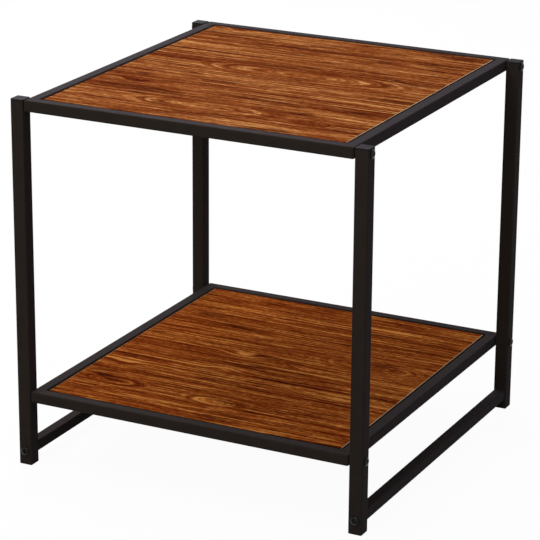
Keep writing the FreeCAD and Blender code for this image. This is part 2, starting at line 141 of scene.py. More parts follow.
def new_material(name: str) -> tuple[bpy.types.Material, NodeTree, bpy.types.Node]:
    """Starts a material.

    Args:
        name: The finish's name.

    Returns:
        The material, its node tree and its Principled shader, which is linked to the output.
    """
    material = bpy.data.materials.new(name)
    material.use_nodes = True
    tree = material.node_tree
    tree.nodes.clear()
    shader = add_node(tree, "ShaderNodeBsdfPrincipled")
    add_node(tree, "ShaderNodeOutputMaterial", links={"Surface": shader.outputs["BSDF"]})
    return material, tree, shader


def millimetres(tree: NodeTree) -> Socket:
    """Object coordinates in millimetres, so that a pattern's scale is a real size.

    Args:
        tree: The node tree.

    Returns:
        The coordinates.
    """
    coordinates = add_node(tree, "ShaderNodeTexCoord")
    scaled = add_node(tree, "ShaderNodeVectorMath", {"operation": "SCALE"},
                      {0: coordinates.outputs["Object"], "Scale": 1 / MM})
    return scaled.outputs["Vector"]


@dataclass(frozen=True)
class PowderCoat:
    """Black polyester powder coat on steel tube.

    The powder melts into a satin skin with a fine orange peel, so flat faces are slightly
    mottled.  Seen at a low angle, faces lit from above carry a faint cool bloom.

    Attributes:
        name: The material's name.
        colour: The coat's colour.
        mottled_colour: Its colour in the lighter mottles.
        roughness: Its roughness, on average.
        roughness_spread: How far the roughness goes from its least to its most.
        specular: The shader's specular level.
        bloom: How strong the cool bloom is.
        bloom_roughness: How widely the bloom spreads.
        bloom_tint: The bloom's colour.
        peel_size: Size of the orange peel, in millimetres.
        peel_height: Its height, in millimetres.
        mottle_size: Size of the mottles, in millimetres.
        mottle_range: The values of the mottle noise between which the roughness changes.
    """

    name: str = "black_powder_coat"
    colour: str = "#302924"
    mottled_colour: str = "#39322c"
    roughness: float = 0.45
    roughness_spread: float = 0.10
    specular: float = 0.002
    bloom: float = 0.12
    bloom_roughness: float = 0.4
    bloom_tint: str = BLOOM_TINT
    peel_size: float = 1.6
    peel_height: float = 0.012
    mottle_size: float = 14.0
    mottle_range: tuple[float, float] = (0.3, 0.7)

    def material(self) -> bpy.types.Material:
        """Makes the coat's material.

        Returns:
            The material.
        """
        material, tree, shader = new_material(self.name)
        place = millimetres(tree)
        mottle = add_node(tree, "ShaderNodeTexNoise", None,
                          {"Vector": place, "Scale": 1 / self.mottle_size, "Detail": 4.0,
                           "Roughness": 0.6}).outputs["Fac"]
        colour = add_node(tree, "ShaderNodeMix", {"data_type": "RGBA"},
                          {"Factor": mottle, COLOUR_A: linear(self.colour),
                           COLOUR_B: linear(self.mottled_colour)})
        least, most = self.mottle_range
        roughness = add_node(tree, "ShaderNodeMapRange", None,
                             {"Value": mottle, "From Min": least, "From Max": most,
                              "To Min": self.roughness - self.roughness_spread / 2,
                              "To Max": self.roughness + self.roughness_spread / 2})
        peel = add_node(tree, "ShaderNodeTexNoise", None,
                        {"Vector": place, "Scale": 1 / self.peel_size, "Detail": 2.0})
        bump = add_node(tree, "ShaderNodeBump", None,
                        {"Height": peel.outputs["Fac"], "Distance": self.peel_height * MM,
                         "Strength": 1.0})
        plug(tree, shader, {
            "Base Color": colour.outputs[MIXED_COLOUR],
            "Roughness": roughness.outputs["Result"],
            "Normal": bump.outputs["Normal"],
            "Specular IOR Level": self.specular,
            "Sheen Weight": self.bloom,
            "Sheen Roughness": self.bloom_roughness,
            "Sheen Tint": linear(self.bloom_tint),
        })
        return material


@dataclass(frozen=True)
class MouldedPlastic:
    """Black polyethylene of the leg caps and foot plugs.

    It comes from a spark-eroded mould, so it is matt, with a fine even grain.

    Attributes:
        name: The material's name.
        colour: The plastic's colour.
        roughness: Its roughness, on average.
        roughness_spread: How far the roughness goes from its least to its most.
        specular: The shader's specular level.
        bloom: How strong the cool bloom is.
        bloom_tint: The bloom's colour.
        grain_size: Size of the mould's grain, in millimetres.
        grain_height: Its height, in millimetres.
        grain_strength: How much of that height the bump shows.
    """

    name: str = "black_plastic"
    colour: str = "#282426"
    roughness: float = 0.5
    roughness_spread: float = 0.12
    specular: float = 0.01
    bloom: float = 0.04
    bloom_tint: str = BLOOM_TINT
    # A spark-eroded grain is about 0.1 mm across.  It is drawn coarser, so that it shows.
    grain_size: float = 0.5
    grain_height: float = 0.02
    grain_strength: float = 0.6

    def material(self) -> bpy.types.Material:
        """Makes the plastic's material.

        Returns:
            The material.
        """
        material, tree, shader = new_material(self.name)
        grain = add_node(tree, "ShaderNodeTexNoise", None,
                         {"Vector": millimetres(tree), "Scale": 1 / self.grain_size,
                          "Detail": 1.0}).outputs["Fac"]
        bump = add_node(tree, "ShaderNodeBump", None,
                        {"Height": grain, "Distance": self.grain_height * MM,
                         "Strength": self.grain_strength})
        roughness = add_node(tree, "ShaderNodeMapRange", None,
                             {"Value": grain,
                              "To Min": self.roughness - self.roughness_spread / 2,
                              "To Max": self.roughness + self.roughness_spread / 2})
        plug(tree, shader, {
            "Base Color": linear(self.colour),
            "Roughness": roughness.outputs["Result"],
            "Normal": bump.outputs["Normal"],
            "Specular IOR Level": self.specular,
            "Sheen Weight": self.bloom,
            "Sheen Tint": linear(self.bloom_tint),
        })
        return material


@dataclass(frozen=True)
class PlatedSteel:
    """Plated steel of the fasteners.

    Barrel plating leaves tiny scuffs, which break up the highlight on the bolt heads.

    Attributes:
        name: The material's name.
        colour: The plating's colour.
        metallic: 1 for bare plating, 0 for black.
        roughness: Its roughness, on average.
        specular: The shader's specular level.
        roughness_spread: How far the roughness goes from its least to its most.
        scuff_size: Size of the scuffs, in millimetres.
    """

    name: str
    colour: str
    metallic: float
    roughness: float
    specular: float = 0.5
    roughness_spread: float = 0.16
    scuff_size: float = 0.8

    def material(self) -> bpy.types.Material:
        """Makes the plating's material.

        Returns:
            The material.
        """
        material, tree, shader = new_material(self.name)
        scuffs = add_node(tree, "ShaderNodeTexNoise", None,
                          {"Vector": millimetres(tree), "Scale": 1 / self.scuff_size,
                           "Detail": 3.0})
        roughness = add_node(tree, "ShaderNodeMapRange", None,
                             {"Value": scuffs.outputs["Fac"],
                              "To Min": self.roughness - self.roughness_spread / 2,
                              "To Max": self.roughness + self.roughness_spread / 2})
        plug(tree, shader, {
            "Base Color": linear(self.colour),
            "Metallic": self.metallic,
            "Roughness": roughness.outputs["Result"],
            "Specular IOR Level": self.specular,
        })
        return material


@dataclass(frozen=True)
class Knot:
    """A place where the grain bows round a small branch.

    Attributes:
        x: Middle of the knot along the board, in millimetres.
        y: Middle of the knot across the board, in millimetres.
        length: Half the length of the bowed grain, in millimetres.
        width: Half its width, in millimetres.
        pull: How far the grain is drawn aside in the middle, in millimetres.
        shade: How much lighter than its surroundings the middle is; below zero, how much darker.
        rings: How strongly the grain closes into rings round the middle, from 0 to 1.
    """

    x: float
    y: float
    length: float
    width: float
    pull: float
    shade: float = 0.0
    rings: float = 0.0


@dataclass(frozen=True)
class GrainLayer:
    """One layer of streaks.

    Attributes:
        length: Size of a streak along the grain, in millimetres.
        width: Size of a streak across the grain, in millimetres.
        detail: How much finer noise lies in the streaks.
        share: How strongly the layer shows.
    """

    length: float
    width: float
    detail: float
    share: float


@dataclass(frozen=True)
class WoodLaminate:
    """Printed and pressed walnut-red laminate on the boards.

    The grain runs along X, nearly straight.  Broad bands and long lines bow round the knots,
    short flecks lie over them, and short pores are pressed into the surface.  The finest
    lines, the flecks and the pores are drawn a little coarser than real ones, so that they
    show.

    Attributes:
        name: The material's name.
        knots: The knots of this board.
        offset: Which part of the endless pattern this board shows, in sizes of a streak.
        stops: The colours from dark to light grain.
        roughness: The roughness between the pores.
        specular: The shader's specular level.
        bloom: How strong the sheen is.
        waves: Length, width and height of the grain's slow waves, in millimetres.
        bands: The broad bands.
        lines: The lines along the grain.
        flecks: The short flecks.
        dark_lines: The thin dark lines.
        dark_line_tint: What a dark line multiplies the colour by.
        golden_lines: The thin light lines.
        streak_roughness: How strongly the finer noise in a streak shows.
        shift_divisor: A layer is moved across by its length over this, so that no two match.
        ring_edge: How near to a knot's middle the rings are whole, from 0 to 1.
        line_level: The value of the noise that a thin line follows.
        line_width: How far from that value the line has faded out.
        patch_range: The values of the noise between which a patch of thin lines comes in.
        patch_scale: How many times shorter and wider than a line such a patch is.
        pores: Size and share of the pores.
        pore_range: The values of the noise between which a pore comes in.
        pore_tint: What a pore multiplies the colour by.
        pore_height: How deep a pore is, in millimetres.
        pore_strength: How much of that depth the bump shows.
        pore_roughness: How much rougher than the rest a pore is.
    """

    name: str
    knots: tuple[Knot, ...]
    offset: float
    stops: Stops
    roughness: float = 0.6
    specular: float = 0.0005
    bloom: float = 0.009
    waves: tuple[tuple[float, float, float], ...] = ((420.0, 90.0, 14.0), (60.0, 18.0, 3.0))
    bands: tuple[GrainLayer, ...] = (
        GrainLayer(400.0, 40.0, 1.0, 0.5),
        GrainLayer(260.0, 11.0, 1.0, 0.55),
    )
    lines: tuple[GrainLayer, ...] = (
        GrainLayer(320.0, 3.8, 2.0, 1.3),
        GrainLayer(110.0, 2.7, 2.0, 1.35),
        GrainLayer(32.0, 2.4, 1.0, 0.75),
    )
    flecks: tuple[GrainLayer, ...] = (GrainLayer(7.0, 2.8, 3.0, 0.9),)
    dark_lines: GrainLayer = GrainLayer(240.0, 9.0, 1.0, 0.95)
    dark_line_tint: str = "#7a5038"
    golden_lines: GrainLayer = GrainLayer(190.0, 12.0, 1.0, 0.13)
    streak_roughness: float = 0.65
    shift_divisor: float = 7.0
    ring_edge: float = 0.35
    line_level: float = 0.48
    line_width: float = 0.04
    patch_range: tuple[float, float] = (0.42, 0.58)
    patch_scale: float = 3.0
    pores: GrainLayer = GrainLayer(12.0, 0.8, 1.0, 0.45)
    pore_range: tuple[float, float] = (0.60, 0.68)
    pore_tint: str = "#6a4632"
    pore_height: float = 0.05
    pore_strength: float = 0.5
    pore_roughness: float = 0.2

    def waved(self, tree: NodeTree, place: Socket, across: Socket) -> Socket:
        """How far across the board a point lies, after the grain's slow waves.

        Args:
            tree: The node tree.
            place: Coordinates in millimetres.
            across: How far across the board the point lies without them.

        Returns:
            The distance in millimetres.
        """
        for length, width, height in self.waves:
            stretched = add_node(tree, "ShaderNodeMapping", None,
                                 {"Vector": place, "Location": (self.offset, self.offset / 2, 0.0),
                                  "Scale": (1 / length, 1 / width, 1 / width)})
            wave = add_node(tree, "ShaderNodeTexNoise", None,
                            {"Vector": stretched.outputs[0], "Scale": 1.0, "Detail": 1.0})
            centred = add_node(tree, "ShaderNodeMath", {"operation": "SUBTRACT"},
                               {0: wave.outputs["Fac"], 1: 0.5})
            across = add_node(tree, "ShaderNodeMath", {"operation": "MULTIPLY_ADD"},
                              {0: centred.outputs[0], 1: height, 2: across}).outputs[0]
        return across

    def grain(self, tree: NodeTree,
              place: Socket) -> tuple[Socket, Socket, Socket | float, Socket | float]:
        """Bends the grain with slow waves and round each knot.

        Args:
            tree: The node tree.
            place: Coordinates in millimetres.

        Returns:
            Coordinates bent along the grain; coordinates in which the grain closes into rings
            round the knots; how much of those shows; and how much lighter the knots are.
        """
        split = add_node(tree, "ShaderNodeSeparateXYZ", None, {0: place})
        along, straight = split.outputs["X"], split.outputs["Y"]
        across = self.waved(tree, place, straight)
        ring_across = add_node(tree, "ShaderNodeMath", {"operation": "SUBTRACT"},
                               {0: across, 1: straight}).outputs[0]
        ringed = tone = 0.0
        for knot in self.knots:
            local = add_node(tree, "ShaderNodeMapping", {"vector_type": "TEXTURE"},
                             {"Vector": place, "Location": (knot.x, knot.y, 0.0),
                              "Scale": (knot.length, knot.width, FLAT)})
            near = add_node(tree, "ShaderNodeTexGradient", {"gradient_type": "SPHERICAL"},
                            {"Vector": local.outputs[0]}).outputs["Fac"]
            blob = add_node(tree, "ShaderNodeMapRange", {"interpolation_type": "SMOOTHSTEP"},
                            {"Value": near})
            across = add_node(tree, "ShaderNodeMath", {"operation": "MULTIPLY_ADD"},
                              {0: blob.outputs["Result"], 1: knot.pull, 2: across}).outputs[0]
            core = add_node(tree, "ShaderNodeMath", {"operation": "POWER"}, {0: near, 1: 2.0})
            tone = add_node(tree, "ShaderNodeMath", {"operation": "MULTIPLY_ADD"},
                            {0: core.outputs[0], 1: knot.shade, 2: tone}).outputs[0]
            if knot.rings:
                ring_across = add_node(tree, "ShaderNodeMath", {"operation": "MULTIPLY_ADD"},
                                       {0: near, 1: knot.width, 2: ring_across}).outputs[0]
                inside = add_node(tree, "ShaderNodeMapRange",
                                  {"interpolation_type": "SMOOTHSTEP"},
                                  {"Value": near, "From Max": self.ring_edge,
                                   "To Max": knot.rings})
                ringed = add_node(tree, "ShaderNodeMath", {"operation": "ADD"},
                                  {0: inside.outputs["Result"], 1: ringed}).outputs[0]
        bent = add_node(tree, "ShaderNodeCombineXYZ", None, {"X": along, "Y": across})
        rings = add_node(tree, "ShaderNodeCombineXYZ", None, {"X": along, "Y": ring_across})
        return bent.outputs[0], rings.outputs[0], ringed, tone

    def streaks(self, tree: NodeTree, place: Socket, layer: GrainLayer) -> Socket:
        """Noise that is drawn out along the grain.

        Args:
            tree: The node tree.
            place: Coordinates in millimetres.
            layer: Size and detail of the streaks.

        Returns:
            A value about 0.5.
        """
        shift = layer.length / self.shift_divisor
        stretched = add_node(tree, "ShaderNodeMapping", None,
                             {"Vector": place, "Location": (self.offset, shift, 0.0),
                              "Scale": (1 / layer.length, 1 / layer.width, 1 / FLAT)})
        noise = add_node(tree, "ShaderNodeTexNoise", None,
                         {"Vector": stretched.outputs[0], "Scale": 1.0, "Detail": layer.detail,
                          "Roughness": self.streak_roughness})
        return noise.outputs["Fac"]

    def summed(self, tree: NodeTree, place: Socket, layers: tuple[GrainLayer, ...],
               start: Socket | float) -> Socket:
        """Adds layers of streaks to a value.

        Args:
            tree: The node tree.
            place: Coordinates in millimetres.
            layers: The layers to add.
            start: The value they are added to.

        Returns:
            The sum.
        """
        for layer in layers:
            centred = add_node(tree, "ShaderNodeMath", {"operation": "SUBTRACT"},
                               {0: self.streaks(tree, place, layer), 1: 0.5})
            start = add_node(tree, "ShaderNodeMath", {"operation": "MULTIPLY_ADD"},
                             {0: centred.outputs[0], 1: layer.share, 2: start}).outputs[0]
        return start

    def thin_lines(self, tree: NodeTree, place: Socket, layer: GrainLayer) -> Socket:
        """Thin lines along the grain, in patches.

        Args:
            tree: The node tree.
            place: Coordinates in millimetres.
            layer: How far apart the lines are, and how strongly they show.

        Returns:
            How strongly a line shows, from 0 to the layer's share.
        """
        above = add_node(tree, "ShaderNodeMath", {"operation": "SUBTRACT"},
                         {0: self.streaks(tree, place, layer), 1: self.line_level})
        distance = add_node(tree, "ShaderNodeMath", {"operation": "ABSOLUTE"},
                            {0: above.outputs[0]})
        lines = add_node(tree, "ShaderNodeMapRange", None,
                         {"Value": distance.outputs[0], "From Min": 0.0,
                          "From Max": self.line_width, "To Min": 1.0, "To Max": 0.0})
        area = GrainLayer(layer.length / self.patch_scale, layer.width * self.patch_scale,
                          1.0, 1.0)
        least, most = self.patch_range
        patches = add_node(tree, "ShaderNodeMapRange", None,
                           {"Value": self.streaks(tree, place, area), "From Min": least,
                            "From Max": most, "To Min": 0.0, "To Max": layer.share})
        share = add_node(tree, "ShaderNodeMath", {"operation": "MULTIPLY"},
                         {0: lines.outputs[0], 1: patches.outputs[0]})
        return share.outputs[0]

    def printed(self, tree: NodeTree, place: Socket) -> Socket:
        """The colour of the printed grain, without the pores.

        Args:
            tree: The node tree.
            place: Coordinates in millimetres.

        Returns:
            The colour.
        """
        bent, rings, ringed, tone = self.grain(tree, place)
        lines = add_node(tree, "ShaderNodeMix", {"data_type": "FLOAT"},
                         {"Factor": ringed, NUMBER_A: self.summed(tree, bent, self.lines, 0.5),
                          NUMBER_B: self.summed(tree, rings, self.lines, 0.5)})
        toned = add_node(tree, "ShaderNodeMath", {"operation": "ADD"},
                         {0: tone, 1: lines.outputs[0]})
        banded = self.summed(tree, bent, self.bands, toned.outputs[0])
        golden = add_node(tree, "ShaderNodeMath", {"operation": "ADD"},
                          {0: self.summed(tree, place, self.flecks, banded),
                           1: self.thin_lines(tree, bent, self.golden_lines)})
        ramp = add_node(tree, "ShaderNodeValToRGB", None, {"Fac": golden.outputs[0]})
        set_stops(ramp.color_ramp, self.stops)
        lined = add_node(tree, "ShaderNodeMix", {"data_type": "RGBA", "blend_type": "MULTIPLY"},
                         {"Factor": self.thin_lines(tree, bent, self.dark_lines),
                          COLOUR_A: ramp.outputs["Color"],
                          COLOUR_B: linear(self.dark_line_tint)})
        return lined.outputs[MIXED_COLOUR]

    def material(self) -> bpy.types.Material:
        """Makes the laminate's material.

        Returns:
            The material.
        """
        material, tree, shader = new_material(self.name)
        place = millimetres(tree)
        least, most = self.pore_range
        pores = add_node(tree, "ShaderNodeMapRange", None,
                         {"Value": self.streaks(tree, place, self.pores), "From Min": least,
                          "From Max": most, "To Min": 0.0, "To Max": 1.0}).outputs["Result"]
        pore_share = add_node(tree, "ShaderNodeMath", {"operation": "MULTIPLY"},
                              {0: pores, 1: self.pores.share})
        pored = add_node(tree, "ShaderNodeMix", {"data_type": "RGBA", "blend_type": "MULTIPLY"},
                         {"Factor": pore_share.outputs[0], COLOUR_A: self.printed(tree, place),
                          COLOUR_B: linear(self.pore_tint)})
        bump = add_node(tree, "ShaderNodeBump", {"invert": True},
                        {"Height": pores, "Distance": self.pore_height * MM,
                         "Strength": self.pore_strength})
        roughness = add_node(tree, "ShaderNodeMapRange", None,
                             {"Value": pores, "To Min": self.roughness,
                              "To Max": self.roughness + self.pore_roughness})
        plug(tree, shader, {
            "Base Color": pored.outputs[MIXED_COLOUR],
            "Roughness": roughness.outputs["Result"],
            "Normal": bump.outputs["Normal"],
            "Specular IOR Level": self.specular,
            "Sheen Weight": self.bloom,
        })
        return material


@dataclass(frozen=True)
class EdgeBand:
    """Thin plastic edging round a board, with a printed grain that runs along the edge.

    Attributes:
        name: The material's name.
        dark: The grain's dark colour.
        light: Its light colour.
        grain_length: Size of the grain along the edge, in millimetres.
        grain_width: Its size up the edge, in millimetres.
        grain_range: The values of the noise between which dark turns to light.
        roughness: The roughness.
        specular: The shader's specular level.
    """

    name: str
    dark: str
    light: str
    grain_length: float = 40.0
    grain_width: float = 1.2
    grain_range: tuple[float, float] = (0.35, 0.65)
    roughness: float = 0.5
    specular: float = 0.2

    def material(self) -> bpy.types.Material:
        """Makes the edging's material.

        Returns:
            The material.
        """
        material, tree, shader = new_material(self.name)
        stretched = add_node(tree, "ShaderNodeMapping", None,
                             {"Vector": millimetres(tree),
                              "Scale": (1 / self.grain_length, 1 / self.grain_length,
                                        1 / self.grain_width)})
        grain = add_node(tree, "ShaderNodeTexNoise", None,
                         {"Vector": stretched.outputs[0], "Scale": 1.0, "Detail": 3.0})
        ramp = add_node(tree, "ShaderNodeValToRGB", None, {"Fac": grain.outputs["Fac"]})
        set_stops(ramp.color_ramp, tuple(zip(self.grain_range, (self.dark, self.light))))
        plug(tree, shader, {
            "Base Color": ramp.outputs["Color"],
            "Roughness": self.roughness,
            "Specular IOR Level": self.specular,
        })
        return material


def dress(node: str, material: bpy.types.Material) -> None:
    """Gives a CAD node a material.

    Args:
        node: The node's name.
        material: The material.
    """
    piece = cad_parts[node]
    if not piece.material_slots:
        piece.data.materials.append(material)
    for slot in piece.material_slots:
        slot.material = material


def to_piece(name: str, shape: bmesh.types.BMesh, materials: list[bpy.types.Material]) -> bpy.types.Object:
    """Makes an object that rides on the table.

    Args:
        name: The piece's name.
        shape: Its finished mesh, in metres in the table's own frame; it is freed here.
        materials: Its materials, in the order of its faces' material numbers.

    Returns:
        The new object.
    """
    mesh = bpy.data.meshes.new(name)
    shape.to_mesh(mesh)
    shape.free()
    piece = bpy.data.objects.new(name, mesh)
    bpy.context.scene.collection.objects.link(piece)
    for material in materials:
        mesh.materials.append(material)
    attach(piece, BODY)
    return piece


class Face(Enum):
    """The material numbers of a board's faces."""

    TOP = 0
    BACK = 1
    EDGE = 2
    END_LIP = 3


@dataclass
class Board:
    """A laminated board, which stands for its CAD node.

    Attributes:
        node: The CAD node's name.
        laminate: The finish of its top and its underside.
        edge: The finish of its sides.  The near-black colours given to it are painted shade of the gap
            round the board.
        end_lip: The finish of the eased edges across the grain.
        chamfer_width: Width of the eased edges.
        level: How far up or down the normal of a level face points at least.
        upright: How far up or down the normal of an upright face points at most.
        piece: The board, once it is built.
    """

    node: str
    laminate: WoodLaminate
    edge: EdgeBand
    end_lip: EdgeBand
    chamfer_width: float = 0.4 * MM
    level: float = 0.99
    upright: float = 0.01
    piece: bpy.types.Object = field(init=False)

    def build(self) -> None:
        """Builds the board: a block to the node's box, with eased edges."""
        low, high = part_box(self.node)
        shape = bmesh.new()
        bmesh.ops.create_cube(shape, size=1.0)
        bmesh.ops.scale(shape, vec=high - low, verts=shape.verts)
        bmesh.ops.translate(shape, vec=(low + high) / 2, verts=shape.verts)
        bmesh.ops.bevel(shape, geom=list(shape.edges), offset=self.chamfer_width, segments=2,
                        profile=0.5, affect="EDGES", material=-1)
        for face in shape.faces:
            face.material_index = self.kind(face).value
        self.piece = to_piece(f"{self.node}_laminated", shape, self.materials())
        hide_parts(self.node)

    def kind(self, face: bmesh.types.BMFace) -> Face:
        """Which of the board's surfaces a face belongs to.

        Args:
            face: The face.

        Returns:
            The surface.
        """
        normal = face.normal
        if abs(normal.z) > self.level:
            return Face.TOP if normal.z > 0.0 else Face.BACK
        if abs(normal.z) < self.upright:
            return Face.EDGE
        return Face.END_LIP if abs(normal.x) > abs(normal.y) else Face.TOP

    def materials(self) -> list[bpy.types.Material]:
        """The board's materials, in the order of Face."""
        laminate = self.laminate.material()
        return [laminate, laminate, self.edge.material(), self.end_lip.material()]


@dataclass
class Steelwork:
    """Legs, frames, stretchers and tabs, all in one powder coat.

    Attributes:
        finish: The coat.
        material: Its material, once it is built.
    """

    finish: PowderCoat
    material: bpy.types.Material = field(init=False)

    def build(self) -> None:
        """Makes the coat."""
        self.material = self.finish.material()

    def dress(self) -> None:
        """Coats every steel node."""
        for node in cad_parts:
            if node.endswith(("_leg", "_rail", "_stretcher", "_board_tab")):
                dress(node, self.material)


@dataclass
class WeldBead:
    """A straight bead of weld metal, with the ripples of the torch and closed ends.

    Attributes:
        start: One end.
        end: The other end.
        radius: The bead's radius in the middle.
        ripple: Height of the ripples, as a share of the radius.
        pitch: Distance from ripple to ripple.
        waver: Height of the slower, uneven swelling, as a share of the radius.
        waver_lengths: The two lengths that it is made of.
        end_bluntness: The power that sets how suddenly the bead closes at its ends.
        least_share: The least radius, as a share of the radius.
        rings_in_ripple: Rings of the mesh in one ripple.
        least_rings: The fewest rings in a bead.
        sides: Sides of a ring.
    """

    start: Vector
    end: Vector
    radius: float
    ripple: float = 0.12
    pitch: float = 1.1 * MM
    waver: float = 0.04
    waver_lengths: tuple[float, float] = (2.3 * MM, 0.9 * MM)
    end_bluntness: int = 8
    least_share: float = 0.05
    rings_in_ripple: int = 4
    least_rings: int = 6
    sides: int = 14

    def girth(self, share: float, along: float) -> float:
        """The bead's radius.

        Args:
            share: How far along the bead, from 0 to 1.
            along: The same as a length.

        Returns:
            The radius there, which falls off to both ends.
        """
        end_taper = math.sqrt(max(0.0, 1.0 - (2.0 * share - 1.0) ** self.end_bluntness))
        ripple = math.cos(2.0 * math.pi * along / self.pitch)
        slow = sum(math.sin(along / length) for length in self.waver_lengths)
        full = end_taper * (1.0 + self.ripple * ripple + self.waver * slow)
        return self.radius * max(self.least_share, full)

    def lay(self, shape: bmesh.types.BMesh) -> None:
        """Lays the bead into a mesh, ring by ring.

        The face that a ring grows from stays as a disc inside the bead.  So the bead isn't a
        clean solid, and its faces can't all be turned outward.

        Args:
            shape: The mesh.
        """
        run = self.end - self.start
        rings = max(self.least_rings, round(run.length / self.pitch * self.rings_in_ripple))
        turned = run.to_track_quat("Z", "Y").to_matrix().to_4x4()
        size = self.girth(0.0, 0.0)
        bmesh.ops.create_circle(shape, cap_ends=True, segments=self.sides, radius=size,
                                matrix=Matrix.Translation(self.start) @ turned)
        shape.faces.ensure_lookup_table()
        face = shape.faces[-1]
        for ring in range(1, rings + 1):
            share = ring / rings
            grown = bmesh.ops.extrude_face_region(shape, geom=[face])["geom"]
            corners = [part for part in grown if isinstance(part, bmesh.types.BMVert)]
            face = next(part for part in grown if isinstance(part, bmesh.types.BMFace))
            bmesh.ops.translate(shape, vec=run / rings, verts=corners)
            wider = self.girth(share, share * run.length) / size
            bmesh.ops.scale(shape, vec=(wider, wider, wider), verts=corners,
                            space=Matrix.Translation(-(self.start + run * share)))
            size *= wider


@dataclass
class FrameWelds:
    """The welds of one frame: in its corners, under its mitres and under its board tabs.

    Attributes:
        name: The piece's name.
        rails: The front and the left rail of the frame.
        tab: The front left board tab.
        material: The coat over the welds.
        top_blobs: Whether a small blob shows on top of each mitre.
        corner_radius: Radius of the upright bead in a corner.
        corner_margin: How far from the rails' upper and lower edges that bead stays.
        seam_radius: Radius of the bead under a mitre.
        seam_share: Where along the mitre that bead starts and ends, from the inner corner.
        tab_radius: Radius of the bead under a tab.
        tab_run: Its length.
        blob_radius: Radius of a blob.
        blob_share: Where along the mitre it sits.
        blob_height: Its height, as a share of its radius.
        blob_segments: Segments of its mesh, round and up.
    """

    name: str
    rails: tuple[str, str]
    tab: str
    material: bpy.types.Material
    top_blobs: bool
    corner_radius: float = 2.0 * MM
    corner_margin: float = 1.0 * MM
    seam_radius: float = 1.8 * MM
    seam_share: tuple[float, float] = (0.1, 0.8)
    tab_radius: float = 1.0 * MM
    tab_run: float = 16.0 * MM
    blob_radius: float = 1.6 * MM
    blob_share: float = 0.3
    blob_height: float = 0.35
    blob_segments: tuple[int, int] = (20, 12)

    def build(self) -> bpy.types.Object:
        """Lays every bead of the frame and joins them in one piece.

        Returns:
            The piece.
        """
        front, left = (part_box(node) for node in self.rails)
        tab_low, tab_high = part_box(self.tab)
        inner = Vector((-left[1].x, -front[1].y, 0.0))
        outer = Vector((-left[0].x, -front[0].y, 0.0))
        bottom = Vector((0.0, 0.0, left[0].z))
        top = Vector((0.0, 0.0, left[1].z))
        margin = Vector((0.0, 0.0, self.corner_margin))
        under = bottom + Vector((0.0, 0.0, self.seam_radius / 2))
        tab_middle = abs(tab_low.y + tab_high.y) / 2
        half_tab = Vector((0.0, self.tab_run / 2, 0.0))
        seam_start, seam_end = self.seam_share
        shape = bmesh.new()
        for side in (-1.0, 1.0):
            for end in (-1.0, 1.0):
                corner = Vector((side * inner.x, end * inner.y, 0.0))
                mitre = Vector((side * outer.x, end * outer.y, 0.0)) - corner
                WeldBead(corner + bottom + margin, corner + top - margin,
                         self.corner_radius).lay(shape)
                WeldBead(corner + mitre * seam_start + under, corner + mitre * seam_end + under,
                         self.seam_radius).lay(shape)
                root = Vector((side * inner.x, end * tab_middle, tab_low.z))
                WeldBead(root - half_tab, root + half_tab, self.tab_radius).lay(shape)
                if self.top_blobs:
                    self.lay_blob(shape, corner + mitre * self.blob_share + top)
        # The discs inside the beads keep this from turning every face outward.
        bmesh.ops.recalc_face_normals(shape, faces=shape.faces)
        for face in shape.faces:
            face.smooth = True
        return to_piece(self.name, shape, [self.material])

    def lay_blob(self, shape: bmesh.types.BMesh, place: Vector) -> None:
        """Lays a flat blob into a mesh.

        Args:
            shape: The mesh.
            place: The blob's middle.
        """
        flat = Matrix.Diagonal((1.0, 1.0, self.blob_height, 1.0))
        round_about, upward = self.blob_segments
        bmesh.ops.create_uvsphere(shape, u_segments=round_about, v_segments=upward,
                                  radius=self.blob_radius,
                                  matrix=Matrix.Translation(place) @ flat)


@dataclass
class Fittings:
    """Bolts, rivet nuts, screws and plastic plugs.

    Attributes:
        bolt: The finish of the bolts.
        zinc: The finish of the rivet nuts and the board screws.
        plastic: The finish of the caps and plugs.
    """

    bolt: PlatedSteel
    zinc: PlatedSteel
    plastic: MouldedPlastic

    def dress(self) -> None:
        """Gives each fitting its finish."""
        finishes = {
            ("_bolt",): self.bolt.material(),
            ("_rivet_nut", "_screws"): self.zinc.material(),
            ("_cap", "_plug"): self.plastic.material(),
        }
        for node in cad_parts:
            for endings, material in finishes.items():
                if node.endswith(endings):
                    dress(node, material)


@dataclass
class AreaLamp:
    """A softbox that points at the middle of the table.

    Attributes:
        name: The lamp's name.
        place: Where it hangs, in metres.
        size: Its side, in metres.
        power: Its power, in watts.
    """

    name: str
    place: tuple[float, float, float]
    size: float
    power: float

    def build(self, target: Vector) -> None:
        """Hangs the lamp and turns it to the target.

        Args:
            target: What it points at.
        """
        light = bpy.data.lights.new(self.name, "AREA")
        light.shape = "SQUARE"
        light.size = self.size
        light.energy = self.power
        lamp = bpy.data.objects.new(self.name, light)
        lamp.location = self.place
        lamp.visible_camera = False
        lamp.rotation_mode = "QUATERNION"
        lamp.rotation_quaternion = (target - Vector(self.place)).to_track_quat("-Z", "Y")
        bpy.context.scene.collection.objects.link(lamp)


